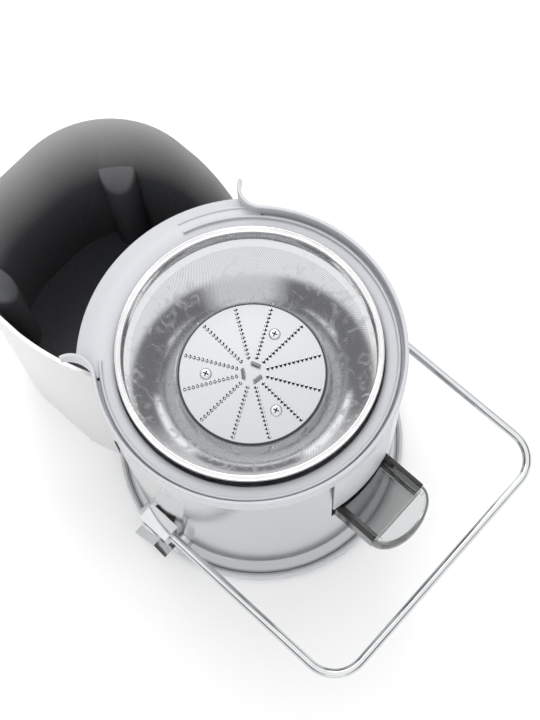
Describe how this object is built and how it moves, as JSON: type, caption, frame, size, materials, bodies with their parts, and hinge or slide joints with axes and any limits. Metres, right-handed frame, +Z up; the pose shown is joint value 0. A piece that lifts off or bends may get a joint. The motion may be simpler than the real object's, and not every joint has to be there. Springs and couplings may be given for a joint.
{
  "type": "centrifugal juicer",
  "caption": "Countertop centrifugal juicer, lid off: steel motor base, lift-out filter bowl with grating basket, pulp container, spout and locking arm.",
  "frame": {"origin": "on the motor axis at the level of the table", "axes": "+X towards the juice spout, -Y towards the user and the control knob, +Z up along the motor axis"},
  "size_m": [0.37, 0.2179, 0.2],
  "materials": {
    "polished_steel": "polished stainless sheet",
    "mirror_steel": "mirror polished stainless",
    "mesh_steel": "finely perforated stainless",
    "brushed_steel": "satin stainless, fine grain",
    "chrome": "bright chrome plate",
    "bowl_plastic": "light grey satin moulded plastic",
    "silver_plastic": "silver lacquered outside, charcoal inside",
    "smoke_clear": "smoke transparent plastic",
    "clear_plastic": "clear transparent plastic",
    "black_plastic": "moulded black plastic",
    "rubber": "moulded rubber",
    "zinc_steel": "zinc plated steel",
    "cast_alloy": "die cast",
    "lamination": "stacked steel laminations",
    "copper": "enamelled copper wire",
    "brass": "turned brass",
    "carbon": "pressed carbon",
    "board": "circuit board laminate"
  },
  "bodies": {
    "base": {"body_shell": "polished_steel", "base_ring": "bowl_plastic", "bottom_plate": "black_plastic", "rubber_feet": "rubber", "bottom_screws": "zinc_steel", "frame_posts": "cast_alloy", "motor_deck": "black_plastic", "deck_screws": "zinc_steel", "shaft_seal": "rubber", "motor_upper_bracket": "cast_alloy", "motor_lower_bracket": "cast_alloy", "stator_core": "lamination", "stator_coils": "copper", "upper_bearing": "polished_steel", "lower_bearing": "polished_steel", "brush_holders": "black_plastic", "carbon_brushes": "carbon", "motor_mounts": "rubber", "motor_bolts": "zinc_steel", "control_board": "board", "board_clips": "black_plastic", "switch_bracket": "black_plastic", "switch_body": "black_plastic", "knob_bezel": "polished_steel", "cord_gland": "black_plastic", "safety_switch": "black_plastic", "pivot_bush_front": "brass", "pivot_bush_back": "brass"},
    "rotor": {"rotor_shaft": "zinc_steel", "armature_core": "lamination", "armature_windings": "copper", "commutator": "brass", "cooling_fan": "black_plastic", "drive_coupling": "black_plastic"},
    "bowl": {"filter_bowl": "bowl_plastic", "bowl_centre_seal": "rubber", "juice_spout": "smoke_clear"},
    "hood": {"spout_hood": "clear_plastic"},
    "basket": {"basket_rim": "mirror_steel", "basket_collar": "mirror_steel", "mesh_cone": "mesh_steel", "basket_base": "bowl_plastic", "grating_disc": "brushed_steel", "disc_screws": "zinc_steel", "centre_blades": "brushed_steel"},
    "container": {"pulp_container": "silver_plastic"},
    "arm": {"locking_arm": "chrome", "arm_block_front": "chrome", "arm_block_back": "chrome", "pivot_pin_front": "chrome", "pivot_pin_back": "chrome"},
    "knob": {"control_knob": "chrome"},
    "plunger": {"interlock_plunger": "black_plastic"}
  },
  "joints": [
    {"name": "rotor_spin", "type": "hinge", "parent": "base", "child": "rotor", "pos_m": [0, 0, 0], "axis": [0, 0, 1], "continuous": true},
    {"name": "bowl_lift", "type": "slide", "parent": "base", "child": "bowl", "axis": [0, 0, 1], "range_m": [0, 0.135]},
    {"name": "basket_spin", "type": "hinge", "parent": "bowl", "child": "basket", "pos_m": [0, 0, 0], "axis": [0, 0, 1], "continuous": true},
    {"name": "hood_slide", "type": "slide", "parent": "bowl", "child": "hood", "axis": [1, 0, 0], "range_m": [0, 0.008]},
    {"name": "container_slide", "type": "slide", "parent": "base", "child": "container", "axis": [-1, 0, 0], "range_m": [0, 0.15]},
    {"name": "arm_swing", "type": "hinge", "parent": "base", "child": "arm", "pos_m": [0.004, 0, 0.082], "axis": [0, -1, 0], "range_deg": [0, 90]},
    {"name": "plunger_push", "type": "slide", "parent": "base", "child": "plunger", "axis": [0, 1, 0], "range_m": [0, 0.0031]},
    {"name": "knob_turn", "type": "hinge", "parent": "base", "child": "knob", "pos_m": [0, 0, 0.034], "axis": [0, -1, 0], "range_deg": [0, 76]}
  ],
  "couplings": [
    {"joint": "basket_spin", "follows": "rotor_spin", "ratio": 1},
    {"joint": "plunger_push", "follows": "arm_swing", "m_per_rad": 0.0019099}
  ]
}
